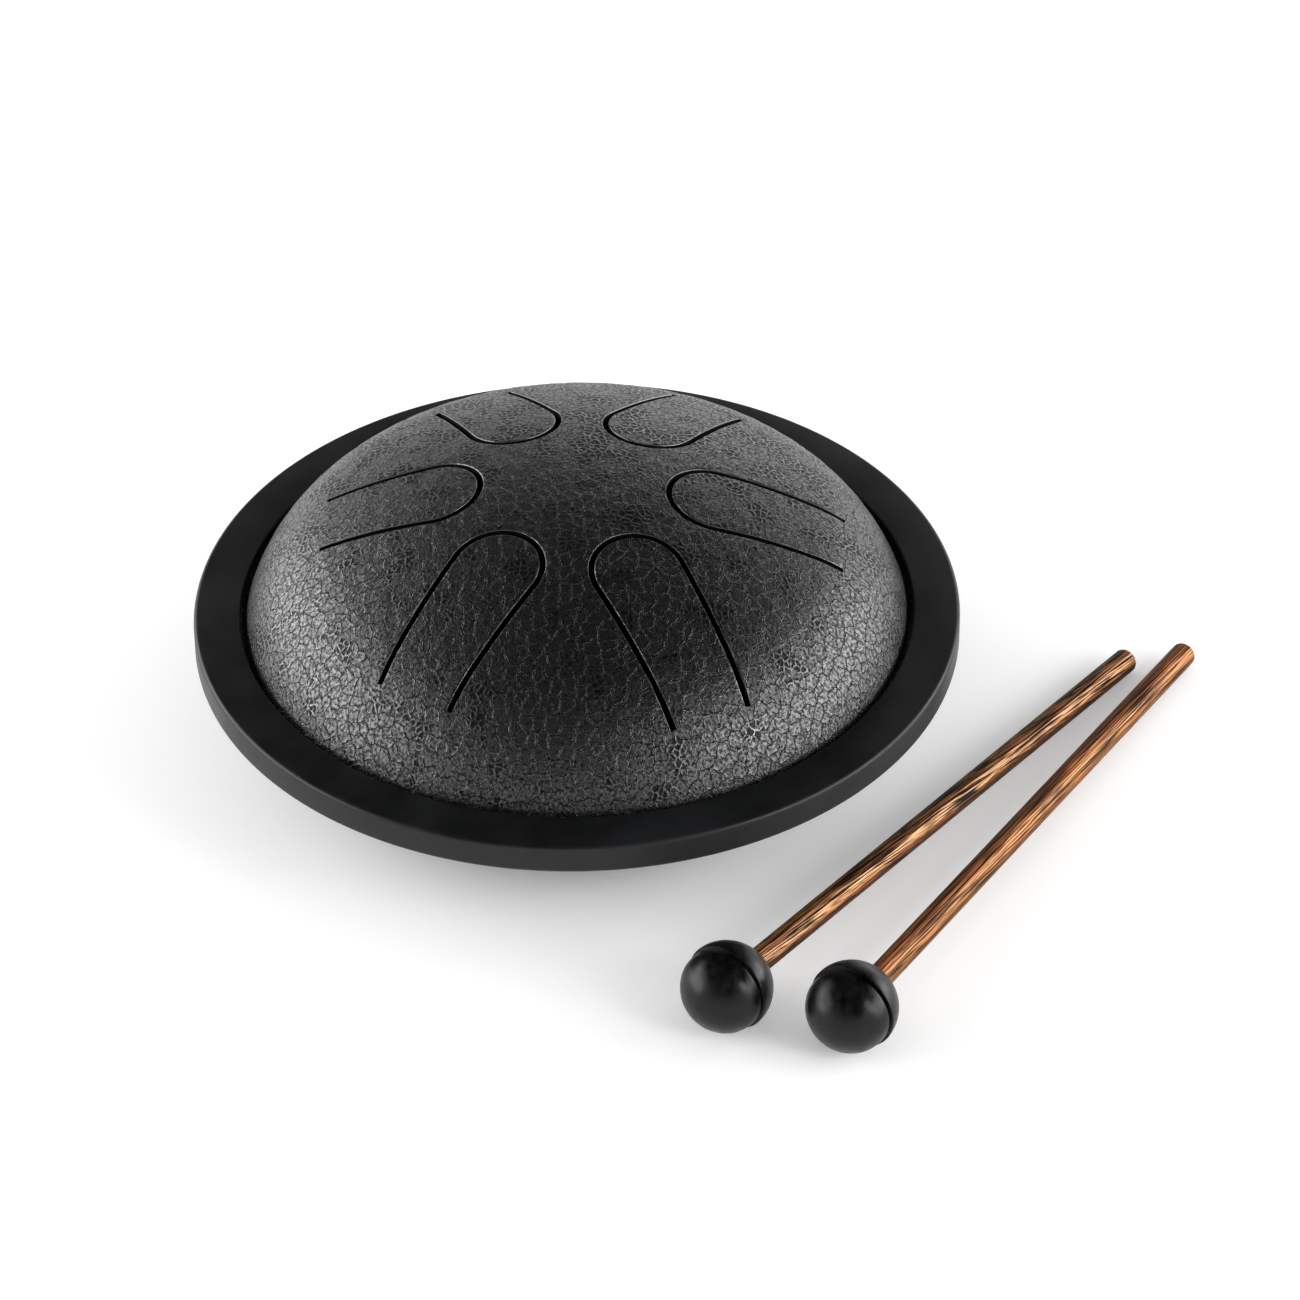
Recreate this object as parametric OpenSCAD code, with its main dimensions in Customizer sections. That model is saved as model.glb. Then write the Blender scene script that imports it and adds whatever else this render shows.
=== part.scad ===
// Steel tongue drum: a pressed steel dome with six cut tongues, a steel dish below it, a rubber ring
// round the seam, four rubber feet, and two rubber-headed beaters that lie beside it.
// The origin is the centre of the sound port, on the outer face of the dish's floor, and +Z is up.

/* [Shells] */
// Thickness of the steel sheet
sheet_t = 1.5; // [1:0.1:2]
// Height of the dome's top above the seam, as a share of the radius of the shells' walls
dome_share = 0.5065; // [0.45:0.0005:0.55]
// Outer radius of the dome's shallow crown, as a share of that radius
crown_share = 1.689; // [1.6:0.0005:1.9]
// Outer radius of the dome's shoulder, as a share of that radius
shoulder_share = 0.5115; // [0.44:0.0005:0.56]
// Radius inside the bend between a shell's wall and its flange
bend_r = 1.2; // [0.6:0.1:2]
// Width of both flanges, from the shells' walls to their edge
flange_w = 8.2; // [7:0.1:9]
// Depth of the dish, from the seam to the outer face of its floor
dish_h = 25; // [23:0.5:32]
// Outer radius of the corner between the dish's wall and its floor, as a share of that radius
dish_corner_share = 0.3085; // [0.24:0.0005:0.36]
// Diameter of the sound port in the dish's floor
port_d = 36; // [20:1:46]

/* [Tongues] */
// Width of the slots that cut the tongues free
slot_w = 1.4; // [0.8:0.1:2]
// Distance of the tongues' tip centres from the axis, as a share of the radius of the shells' walls
tip_pitch_share = 0.4215; // [0.38:0.0005:0.46]
// Radius of a tongue's round tip, at the middle of its slot, as a share of that radius
tip_share = 0.139; // [0.11:0.0005:0.15]
// Half the width of a tongue's root, at the middle of its slots, as a share of that radius
root_half_share = 0.122; // [0.105:0.0005:0.135]
// Distance from the axis to the root of the longest tongue, as a share of that radius
root_reach_share = 0.8805; // [0.82:0.0005:0.91]
// Direction of the first tongue
tongue_turn = 55.8; // [0:0.1:60]

/* [Ring] */
// Outer diameter of the rubber ring
ring_d = 180; // [176:0.5:184]
// Height of the rubber ring
ring_h = 7.6; // [7:0.1:12]
// Thickness of rubber outside the ring's channel
ring_wall_t = 3.7; // [2.5:0.1:5]
// Gap between the flanges' edge and the bottom of the ring's channel
flange_gap = 0.3; // [0.1:0.1:0.8]
// Gap between the ring's lips and the shells' walls at the flange
lip_gap = 1.3; // [1:0.1:3]
// Radius of the ring's outer edges
ring_edge_r = 1.1; // [0.5:0.1:1.8]
// Radius of the ring's lip edges
lip_edge_r = 0.5; // [0.2:0.1:0.8]

/* [Feet] */
// Distance from the drum's axis to each foot, as a share of the radius of the shells' walls
foot_pitch_share = 0.514; // [0.44:0.0005:0.54]
// Diameter of a foot where it meets the dish
foot_d = 14; // [12:0.5:16]
// Diameter of a foot where it meets the table
foot_tip_d = 11.6; // [10.6:0.2:12]
// Height of a foot
foot_h = 6.5; // [6:0.1:9]
// Width and height of the chamfer round a foot's lower edge
foot_chamfer = 0.6; // [0.2:0.1:0.8]
// Diameter of the recess under a foot
recess_d = 8.4; // [8.2:0.1:9]
// Thickness of rubber between the dish and the washer
foot_web_t = 2; // [1.6:0.1:2.6]
// Diameter of the screw's thread
screw_d = 3; // [2.5:0.1:3.2]
// Diameter of the screw's head
screw_head_d = 5.6; // [5:0.1:6]
// Height of the screw's head
screw_head_h = 1.9; // [1.4:0.1:2.2]
// Chamfer round the screw's head and at the end of its thread
screw_chamfer = 0.4; // [0.1:0.1:0.6]
// Width of the hexagon key's socket in the screw's head, across its corners
screw_socket_d = 2.3; // [1.6:0.1:2.6]
// Depth of that socket
screw_socket_h = 1.1; // [0.6:0.1:1.2]
// Diameter of the steel washer in a foot
washer_d = 8; // [6.6:0.1:8.1]
// Thickness of the washer
washer_t = 0.6; // [0.4:0.1:1]
// Width of the nut across its flats
nut_w = 5.5; // [5:0.1:6]
// Height of the nut
nut_h = 2.4; // [1.8:0.1:3]
// Length of thread that stands out of the nut
screw_spare = 0.8; // [0.2:0.1:2]
// Gap between the screw and the holes that it passes through
screw_gap = 0.15; // [0.05:0.05:0.3]
// Gap between the screw's thread and the nut
thread_gap = 0.04; // [0.02:0.01:0.08]

/* [Mallets] */
// Diameter of a mallet's rubber head
head_d = 21.2; // [18:0.1:24]
// Step at the head's parting line, where its rear half stands proud
head_step = 0.25; // [0.1:0.05:0.5]
// Diameter of the wooden handle
handle_d = 6; // [5:0.1:8]
// Length of a mallet from the front of its head to the end of its handle
mallet_len = 172.2; // [140:0.2:200]
// Depth of the handle's socket in the head
socket_h = 13; // [10:0.5:15]
// Gap between the handle and the wall of its socket
socket_gap = 0.05; // [0.02:0.01:0.1]
// Radius of the handle's rounded end
butt_r = 1.4; // [0.4:0.1:2.4]
// Gap between the ring and the left handle, as seen from above
left_gap = 0.4; // [0.2:0.1:1.2]
// Distance from the left handle's point nearest to the drum back to its head's centre
left_head_back = 66.3; // [64:0.1:70]
// Heading of the left handle, from +X towards +Y
left_handle_angle = 51.4; // [51:0.1:53]
// Gap between the ring and the right handle, as seen from above
right_gap = 20.4; // [20:0.1:28]
// Distance from the right handle's point nearest to the drum back to its head's centre
right_head_back = 67; // [62:0.1:70]
// Heading of the right handle, from +X towards +Y
right_handle_angle = 57.3; // [56:0.1:59]

/* [Hidden] */

// Facets of the round shapes
$fn = 96;
// Overrun of a cut past the face that it starts from
overrun = 1;
// Steps round the tip of a tongue's slot
tip_steps = 24;

// Reach of each tongue's root, as a share of the longest one's, in turn from the first tongue
reach_shares = [0.838, 0.804, 0.861, 0.968, 1, 0.915];
tongue_count = len(reach_shares);
// Directions of the feet: front left, front right, back left, back right
foot_turns = [225, 315, 135, 45];
// Facets of the nut, and of the socket in the screw's head
hex_sides = 6;

seam_z = dish_h;
ring_z = seam_z - ring_h / 2;
ground_z = -foot_h;
// Outer radius of both flanges, and of the shells' walls where they turn out into them
flange_r = ring_d / 2 - ring_wall_t - flange_gap;
root_r = flange_r - flange_w;
lip_r = root_r + lip_gap;
// The shells, their tongues and the feet's places keep their proportions to the walls
dome_h = dome_share * root_r;
crown_r = crown_share * root_r;
shoulder_r = shoulder_share * root_r;
dish_corner_r = dish_corner_share * root_r;
tip_pitch_r = tip_pitch_share * root_r;
tip_r = tip_share * root_r;
root_half_w = root_half_share * root_r;
root_reach = root_reach_share * root_r;
foot_pitch_r = foot_pitch_share * root_r;
// Centre of the bend between wall and flange, from the axis and from the seam
bend_x = root_r + bend_r;
bend_z = sheet_t + bend_r;

// Height above the seam of the crown's centre
crown_z = dome_h - crown_r;
// The shoulder's centre lies this far from the crown's centre, and this far from the bend's centre
crown_to_shoulder = crown_r - shoulder_r;
shoulder_to_bend = shoulder_r + bend_r;
// The two circles round those centres meet at the shoulder's centre
crown_to_bend = norm([bend_x, bend_z - crown_z]);
shoulder_along = (crown_to_shoulder ^ 2 - shoulder_to_bend ^ 2 + crown_to_bend ^ 2) / (2 * crown_to_bend);
shoulder_across = sqrt(crown_to_shoulder ^ 2 - shoulder_along ^ 2);
to_bend = [bend_x, bend_z - crown_z] / crown_to_bend;
shoulder_centre = [0, crown_z] + shoulder_along * to_bend + shoulder_across * [-to_bend.y, to_bend.x];

// The dish's corner turns about a point at the floor's rim, tangent to the same bend
corner_rise = dish_h - bend_z - dish_corner_r;
floor_r = bend_x - sqrt((dish_corner_r + bend_r) ^ 2 - corner_rise ^ 2);

// A direction of length one, from an angle
function aim(turn) = [cos(turn), sin(turn)];

// Half section of the dome's solid, with its face this far inside the sheet's outer face
module dome_half(inset) {
    centre = [0, crown_z];
    tangent = (shoulder_centre - centre) / crown_to_shoulder;
    bend = [bend_x, bend_z];
    reach = 2 * crown_r;
    difference() {
        union() {
            intersection() {
                translate(centre) circle(crown_r - inset, $fn = 4 * $fn);
                polygon([centre, centre + [0, reach], centre + reach * [tangent.x, 1],
                    centre + reach * tangent]);
            }
            translate(shoulder_centre) circle(shoulder_r - inset, $fn = 2 * $fn);
            polygon([centre, centre - [0, crown_r], [bend_x, crown_z - crown_r], bend,
                shoulder_centre]);
        }
        translate(bend) circle(bend_r + inset);
    }
}

// Half section of the dish's solid, upside down, with its face this far inside the outer face
module dish_half(inset) {
    corner = [floor_r, dish_h - dish_corner_r];
    bend = [bend_x, bend_z];
    low = corner.y - 2 * dish_corner_r;
    difference() {
        union() {
            translate(corner) circle(dish_corner_r - inset, $fn = 2 * $fn);
            translate([0, low]) square([floor_r, dish_h - inset - low]);
            polygon([[0, low], [bend_x, low], bend, corner, [0, corner.y]]);
        }
        translate(bend) circle(bend_r + inset);
    }
}

// Half section of the flange that both shells carry
module flange_half() {
    translate([bend_x, 0]) square([flange_r - bend_x, sheet_t]);
}

// A shell's sheet, turned round the axis, with its seam face at zero
module dome_sheet() {
    rotate_extrude() {
        flange_half();
        intersection() {
            difference() {
                dome_half(0);
                dome_half(sheet_t);
            }
            square([bend_x, dome_h + overrun]);
        }
    }
}

module dish_sheet() {
    rotate_extrude() {
        flange_half();
        intersection() {
            difference() {
                dish_half(0);
                dish_half(sheet_t);
            }
            square([bend_x, dish_h + overrun]);
        }
    }
}

// Half the angle, at the centre of a tongue's round tip, that its slot leaves open towards the root
function open_turn(reach) =
    atan2(root_half_w, reach - tip_pitch_r) + acos(tip_r / norm([root_half_w, reach - tip_pitch_r]));

// One edge of a tongue's slot, this far outside its middle line: from the root straight to the round
// tip, round it in short steps, and straight back to the root
function slot_edge(reach, outside) =
    let (
        turn = open_turn(reach),
        side_len = sqrt(norm([root_half_w, reach - tip_pitch_r]) ^ 2 - tip_r ^ 2),
        rim_r = tip_r + outside
    )
    concat(
        [rim_r * aim(turn) + side_len * aim(turn - 90)],
        [for (k = [0 : tip_steps]) rim_r * aim(turn + k * (360 - 2 * turn) / tip_steps)],
        [rim_r * aim(-turn) + side_len * aim(90 - turn)]
    );

// Plan of one tongue's slot, about the centre of its tip and with its root along +X
module slot_plan(reach) {
    outer = slot_edge(reach, slot_w / 2);
    inner = slot_edge(reach, -slot_w / 2);
    polygon(concat(outer, [for (k = [len(inner) - 1 : -1 : 0]) inner[k]]));
}

// The dome: pressed sheet with its flange and the six tongues cut free on three sides
module tongue_shell() {
    color("#3a3b3d")
        translate([0, 0, seam_z])
            difference() {
                rotate(tongue_turn + 180 / tongue_count) dome_sheet();
                for (i = [0 : tongue_count - 1])
                    rotate(tongue_turn + i * 360 / tongue_count)
                        translate([tip_pitch_r, 0, sheet_t])
                            linear_extrude(dome_h)
                                slot_plan(root_reach * reach_shares[i]);
            }
}

// The dish: the same sheet and flange upside down, with the sound port and the feet's screw holes
module bottom_shell() {
    color("#2b2c2e")
        difference() {
            translate([0, 0, seam_z]) mirror([0, 0, 1]) dish_sheet();
            translate([0, 0, -overrun]) cylinder(h = sheet_t + 2 * overrun, d = port_d);
            for (i = [0 : len(foot_turns) - 1])
                at_foot(i)
                    translate([0, 0, -overrun])
                        cylinder(h = sheet_t + 2 * overrun, d = screw_d + 2 * screw_gap);
        }
}

// A rectangle with its corners rounded, by one radius at its left and another at its right
module rounded_half(low, size, left_r, right_r) {
    translate(low) {
        translate([left_r, 0]) square([size.x - left_r - right_r, size.y]);
        translate([0, left_r]) square([left_r, size.y - 2 * left_r]);
        translate([size.x - right_r, right_r]) square([right_r, size.y - 2 * right_r]);
        for (y = [left_r, size.y - left_r]) translate([left_r, y]) circle(left_r);
        for (y = [right_r, size.y - right_r]) translate([size.x - right_r, y]) circle(right_r);
    }
}

// The rubber ring: a U section that grips both flanges
module rim_ring() {
    color("#1d1e20")
        rotate_extrude()
            difference() {
                rounded_half([lip_r, ring_z], [ring_d / 2 - lip_r, ring_h], lip_edge_r, ring_edge_r);
                translate([lip_r - overrun, seam_z - sheet_t])
                    square([flange_r + flange_gap - lip_r + overrun, 2 * sheet_t]);
            }
}

// Puts its children at one foot's place under the dish
module at_foot(i) {
    translate(foot_pitch_r * aim(foot_turns[i])) children();
}

// One rubber foot: tapered, with its lower edge chamfered and a recess for the washer and the screw
module foot(i) {
    color("#18191a")
        at_foot(i)
            rotate_extrude()
                difference() {
                    polygon([[0, 0], [foot_d / 2, 0], [foot_tip_d / 2, -foot_h + foot_chamfer],
                        [foot_tip_d / 2 - foot_chamfer, -foot_h], [0, -foot_h]]);
                    translate([0, -foot_h - overrun])
                        square([recess_d / 2, foot_h - foot_web_t + overrun]);
                    translate([0, -foot_h]) square([screw_d / 2 + screw_gap, foot_h + overrun]);
                }
}

// The steel washer at the top of each foot's recess
module foot_washers() {
    color("silver")
        for (i = [0 : len(foot_turns) - 1])
            at_foot(i)
                translate([0, 0, -foot_web_t - washer_t])
                    difference() {
                        cylinder(h = washer_t, d = washer_d);
                        translate([0, 0, -overrun])
                            cylinder(h = washer_t + 2 * overrun, d = screw_d + 2 * screw_gap);
                    }
}

// The screw that holds each foot: a low head under the washer, and its shank up to past the nut
module foot_screws() {
    head_z = -foot_web_t - washer_t;
    low = head_z - screw_head_h;
    end = sheet_t + nut_h + screw_spare;
    color("silver")
        for (i = [0 : len(foot_turns) - 1])
            at_foot(i)
                difference() {
                    rotate_extrude()
                        polygon([[0, low], [screw_head_d / 2 - screw_chamfer, low],
                            [screw_head_d / 2, low + screw_chamfer], [screw_head_d / 2, head_z],
                            [screw_d / 2, head_z], [screw_d / 2, end - screw_chamfer],
                            [screw_d / 2 - screw_chamfer, end], [0, end]]);
                    translate([0, 0, low - overrun])
                        cylinder(h = screw_socket_h + overrun, d = screw_socket_d, $fn = hex_sides);
                }
}

// The nut on each screw, on the inner face of the dish's floor
module foot_nuts() {
    color("silver")
        for (i = [0 : len(foot_turns) - 1])
            at_foot(i)
                translate([0, 0, sheet_t])
                    difference() {
                        cylinder(h = nut_h, r = nut_w / 2 / cos(180 / hex_sides), $fn = hex_sides);
                        translate([0, 0, -overrun])
                            cylinder(h = nut_h + 2 * overrun, d = screw_d + 2 * thread_gap);
                    }
}

// Lays a mallet on the table, on its head and its handle's rounded end. The handle passes the ring
// with this gap, and the head's centre is this far back along it from its point nearest to the drum.
module laid(gap, back, heading) {
    butt = [mallet_len - head_d / 2 - butt_r, handle_d / 2 - butt_r];
    drop = asin((head_d / 2 - butt_r) / norm(butt)) - atan2(butt.y, butt.x);
    place = ((ring_d + handle_d) / 2 + gap) * aim(heading - 90) - back * aim(heading);
    translate([place.x, place.y, ground_z + head_d / 2])
        rotate([0, 90 + drop, heading])
            children();
}

module left_laid() {
    laid(left_gap, left_head_back, left_handle_angle) children();
}

module right_laid() {
    laid(right_gap, right_head_back, right_handle_angle) children();
}

// A mallet's head, round +Z from its centre: a ball with a stepped parting line and a blind socket
module mallet_head() {
    socket_floor = head_d / 2 - socket_h;
    color("#141516")
        rotate_extrude()
            difference() {
                union() {
                    intersection() {
                        circle(head_d / 2);
                        square([head_d, head_d / 2]);
                    }
                    intersection() {
                        circle(head_d / 2 - head_step);
                        translate([0, -head_d / 2]) square([head_d, head_d / 2 + head_step]);
                    }
                }
                translate([0, socket_floor])
                    square([handle_d / 2 + socket_gap, head_d]);
            }
}

// A mallet's handle: a turned dowel from the socket's floor to its rounded end
module mallet_handle() {
    start = head_d / 2 - socket_h;
    handle_len = mallet_len - head_d + socket_h;
    color("#8a5a34")
        rotate_extrude()
            translate([0, start]) {
                square([handle_d / 2, handle_len - butt_r]);
                square([handle_d / 2 - butt_r, handle_len]);
                translate([handle_d / 2 - butt_r, handle_len - butt_r])
                    intersection() {
                        circle(butt_r);
                        square(butt_r);
                    }
            }
}

tongue_shell();
bottom_shell();
rim_ring();
foot(0);  // foot_front_left
foot(1);  // foot_front_right
foot(2);  // foot_back_left
foot(3);  // foot_back_right
foot_washers();
foot_screws();
foot_nuts();
left_laid() mallet_head();  // left_mallet_head
left_laid() mallet_handle();  // left_mallet_handle
right_laid() mallet_head();  // right_mallet_head
right_laid() mallet_handle();  // right_mallet_handle
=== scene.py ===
import math

import bpy
import numpy as np
from mathutils import Matrix, Vector
from mathutils.geometry import delaunay_2d_cdt


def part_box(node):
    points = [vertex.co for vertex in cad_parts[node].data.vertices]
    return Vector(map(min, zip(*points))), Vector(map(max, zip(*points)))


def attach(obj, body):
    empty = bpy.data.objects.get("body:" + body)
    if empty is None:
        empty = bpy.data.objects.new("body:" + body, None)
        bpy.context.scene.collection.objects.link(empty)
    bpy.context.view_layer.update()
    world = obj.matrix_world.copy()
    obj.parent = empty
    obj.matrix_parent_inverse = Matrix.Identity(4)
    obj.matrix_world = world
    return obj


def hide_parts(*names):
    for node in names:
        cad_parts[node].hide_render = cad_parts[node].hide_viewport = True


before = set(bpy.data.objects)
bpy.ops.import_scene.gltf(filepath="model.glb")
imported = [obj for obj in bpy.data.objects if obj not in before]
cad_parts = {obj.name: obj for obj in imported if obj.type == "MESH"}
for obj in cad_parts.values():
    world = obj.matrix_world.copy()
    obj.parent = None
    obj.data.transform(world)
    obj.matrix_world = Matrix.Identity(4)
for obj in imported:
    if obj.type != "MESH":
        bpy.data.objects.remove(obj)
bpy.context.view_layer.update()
print("frame loaded:", len(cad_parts), "nodes")

mm = 0.001
scene = bpy.context.scene
scene.view_settings.view_transform = "Standard"


# Camera: far off, looking down on the drum from the front

cameraSettings = {
    "lens": 166.2,
    "sensor": 36,
    "place": (0, -1122.0, 884.0),
    "aim": (16.8, -18.6, 28.8),
    "roll": -0.6,  # degrees
}


def addCamera(settings):
    data = bpy.data.cameras.new("photoCamera")
    data.lens = settings["lens"]
    data.sensor_width = settings["sensor"]
    data.clip_start, data.clip_end = 0.05, 50
    camera = bpy.data.objects.new("photoCamera", data)
    scene.collection.objects.link(camera)
    place, aim = Vector(settings["place"]) * mm, Vector(settings["aim"]) * mm
    turn = (aim - place).to_track_quat("-Z", "Y").to_matrix().to_4x4()
    roll = Matrix.Rotation(math.radians(settings["roll"]), 4, "Z")
    camera.matrix_world = Matrix.Translation(place) @ turn @ roll
    scene.camera = camera


addCamera(cameraSettings)
print("camera placed")


# Colours and nodes

def linear(code):
    # sRGB hex to linear light, by the sRGB curve
    parts = np.array([int(code[i:i + 2], 16) for i in (1, 3, 5)]) / 255
    light = np.where(parts <= 0.04045, parts / 12.92, ((parts + 0.055) / 1.055) ** 2.4)
    return (*light.tolist(), 1.0)


def addNode(tree, kind, settings=None, **inputs):
    # One node: its settings, then its inputs by name, or by number as i0, i1 and so on. An input takes a
    # value or another node's socket.
    node = tree.nodes.new(kind)
    for key, value in (settings or {}).items():
        setattr(node, key, value)
    for key, value in inputs.items():
        numbered = key[0] == "i" and key[1:].isdigit()
        socket = node.inputs[int(key[1:]) if numbered else key.replace("_", " ")]
        if isinstance(value, bpy.types.NodeSocket):
            tree.links.new(value, socket)
        else:
            socket.default_value = value
    return node


def newMaterial(name):
    material = bpy.data.materials.new(name)
    material.use_nodes = True
    material.node_tree.nodes.clear()
    return material, material.node_tree


def addRamp(tree, factor, stops):
    # A colour ramp through (position, colour) stops; a colour is a hex code or a grey level
    node = addNode(tree, "ShaderNodeValToRGB", Fac=factor)
    ramp = node.color_ramp
    while len(ramp.elements) < len(stops):
        ramp.elements.new(1)
    for element, (position, colour) in zip(ramp.elements, stops):
        element.position = position
        element.color = linear(colour) if isinstance(colour, str) else (colour, colour, colour, 1)
    return node.outputs["Color"]


def finishMaterial(tree, **inputs):
    shader = addNode(tree, "ShaderNodeBsdfPrincipled", **inputs)
    addNode(tree, "ShaderNodeOutputMaterial", Surface=shader.outputs["BSDF"])


# Crackle powder coat on pressed steel: the coat shrinks as it bakes and splits into islands of about
# 3 mm, by the distance to the nearest edge of a bent net of cells. A crack is a thin dull line, with a
# low lip on both sides that catches the light. In patches, and more of them toward the back, the islands
# give way to low glossy wrinkles about 1.7 mm apart with dull hollows between them, by the same distance
# in a finer net. Over both lies a fine pebble that breaks the gloss into flecks. The colour follows the
# gloss: painted shade darkens the cracks and hollows, and painted sheen lightens the lips, the wrinkles
# and the flecks. The attribute "rim" is 1 where the coat rolls over a cut's edge, smooth and glossy, and
# painted a lighter grey there as a painted highlight.

coatSettings = {
    "island": 3.2,  # mm across an island
    "crumple": 1.7,  # mm between the wrinkles
    "grain": 0.85,  # mm across a pebble
    "patch": 9,  # mm across a patch
    "bendWaves": 0.9,  # of the noise that bends the nets, for each island's width
    "bendShare": 0.7,  # of a net's cell by which that noise moves it
    # Heights and gloss over each net, by the distance to the nearest edge as a share of a cell
    "islandSection": [(0.0, 0.5), (0.03, 0.62), (0.056, 0.95), (0.072, 1.0), (0.125, 0.79), (0.24, 0.73)],
    "islandShine": [(0.036, 0.14), (0.058, 0.75), (0.078, 0.88), (0.13, 0.66)],
    "crumpleSection": [(0.0, 1.0), (0.09, 0.93), (0.25, 0.58), (0.42, 0.48)],
    "crumpleShine": [(0.07, 1.0), (0.16, 0.08), (0.42, 0.16)],
    "closing": (-40, 60, 0.06, -0.1),  # mm toward the back over which the islands give way, and how far
    "opening": (0.38, 0.48, 0.9),  # noise over which the islands take over, and their share where they have
    "depth": 0.36,  # mm from the deepest crack to the highest grain
    "shares": (0.5, 0.05, 0.12),  # of that depth, for the cracks, the slow swell and the grain
    "flecks": [(0.38, 0.2), (0.5, 0.7), (0.6, 1.0)],  # gloss of the pebbles, by the grain
    # tones follow the gloss: painted shade in the cracks and hollows, painted sheen on the lips, wrinkles and
    # flecks
    "tones": [(0.0, "#010101"), (0.4, "#050606"), (1.0, "#0e0f10")],
    "rough": (0.5, 0.26),  # in the hollows and on the tops
    "gloss": (0.05, 2.0),
    "rimHeight": 0.7,  # of the depth
    # a lighter grey along each cut's rounded edge: a painted highlight
    "rimHighlightTone": "#2c2e30",
}


def crackleCoat(settings):
    material, tree = newMaterial("cracklePowderCoat")
    flat = {"noise_dimensions": "2D"}
    place = addNode(tree, "ShaderNodeUVMap", {"uv_map": "sheet"}).outputs["UV"]
    rim = addNode(tree, "ShaderNodeAttribute", {"attribute_name": "rim"}).outputs["Fac"]
    bend = addNode(tree, "ShaderNodeTexNoise", flat, Vector=place,
                   Scale=1000 * settings["bendWaves"] / settings["island"], Detail=4.0, Roughness=0.65)

    def crackNet(size, section, shine):
        shifted = addNode(tree, "ShaderNodeVectorMath", {"operation": "MULTIPLY_ADD"},
                          i0=bend.outputs["Color"], i1=(settings["bendShare"] * size * mm,) * 3, i2=place)
        cells = addNode(tree, "ShaderNodeTexVoronoi",
                        {"voronoi_dimensions": "2D", "feature": "DISTANCE_TO_EDGE"},
                        Vector=shifted.outputs[0], Scale=1000 / size, Randomness=1.0)
        return [addRamp(tree, cells.outputs["Distance"], stops) for stops in (section, shine)]

    islandHeight, islandShine = crackNet(settings["island"], settings["islandSection"],
                                         settings["islandShine"])
    crumpleHeight, crumpleShine = crackNet(settings["crumple"], settings["crumpleSection"],
                                           settings["crumpleShine"])
    closing, opening = settings["closing"], settings["opening"]
    depthward = addNode(tree, "ShaderNodeSeparateXYZ", Vector=place).outputs["Y"]
    closed = addNode(tree, "ShaderNodeMapRange", Value=depthward, From_Min=closing[0] * mm,
                     From_Max=closing[1] * mm, To_Min=closing[2], To_Max=closing[3])
    patches = addNode(tree, "ShaderNodeTexNoise", flat, Vector=place, Scale=1000 / settings["patch"],
                      Detail=4.0)
    drifted = addNode(tree, "ShaderNodeMath", {"operation": "ADD"}, i0=patches.outputs["Fac"],
                      i1=closed.outputs["Result"])
    opened = addNode(tree, "ShaderNodeMapRange", {"interpolation_type": "SMOOTHSTEP"},
                     Value=drifted.outputs[0], From_Min=opening[0], From_Max=opening[1], To_Min=0.0,
                     To_Max=opening[2]).outputs["Result"]
    crack, gleam = [addNode(tree, "ShaderNodeMix", {"data_type": "FLOAT"}, i0=opened, i2=crumple,
                            i3=island).outputs[0]
                    for crumple, island in ((crumpleHeight, islandHeight), (crumpleShine, islandShine))]
    grain = addNode(tree, "ShaderNodeTexNoise", flat, Vector=place, Scale=1000 / settings["grain"],
                    Detail=4.0, Roughness=0.6)
    fleck = addRamp(tree, grain.outputs["Fac"], settings["flecks"])
    parts = addNode(tree, "ShaderNodeCombineXYZ", X=crack, Y=bend.outputs["Fac"], Z=fleck)
    relief = addNode(tree, "ShaderNodeVectorMath", {"operation": "DOT_PRODUCT"}, i0=parts.outputs[0],
                     i1=settings["shares"]).outputs["Value"]
    height = addNode(tree, "ShaderNodeMix", {"data_type": "FLOAT"}, i0=rim, i2=relief,
                     i3=settings["rimHeight"]).outputs[0]
    bump = addNode(tree, "ShaderNodeBump", Strength=1.0, Distance=settings["depth"] * mm, Height=height)
    shine = addNode(tree, "ShaderNodeMath", {"operation": "MULTIPLY"}, i0=fleck, i1=gleam)
    shine = addNode(tree, "ShaderNodeMix", {"data_type": "FLOAT"}, i0=rim, i2=shine.outputs[0],
                    i3=1.0).outputs[0]
    rough = addNode(tree, "ShaderNodeMapRange", Value=shine, To_Min=settings["rough"][0],
                    To_Max=settings["rough"][1])
    gloss = addNode(tree, "ShaderNodeMapRange", Value=shine, To_Min=settings["gloss"][0],
                    To_Max=settings["gloss"][1])
    # Colour by the gloss: painted shade in the cracks and hollows and painted sheen on the tops, with the
    # rim's lighter grey as a painted highlight
    tone = addNode(tree, "ShaderNodeMix", {"data_type": "RGBA"}, i0=rim,
                   i6=addRamp(tree, shine, settings["tones"]), i7=linear(settings["rimHighlightTone"]))
    finishMaterial(tree, Base_Color=tone.outputs[2], Roughness=rough.outputs["Result"],
                   Specular_IOR_Level=gloss.outputs["Result"], Normal=bump.outputs["Normal"])
    return material


# Inside of the shells and the walls of their cuts: a thin dull dusting of the same black powder

insideSettings = {"dust": 1.2, "tones": [(0.35, "#030303"), (0.7, "#0a0a0b")], "depth": 0.03, "rough": 0.8,
                  "gloss": 0.1}


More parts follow.
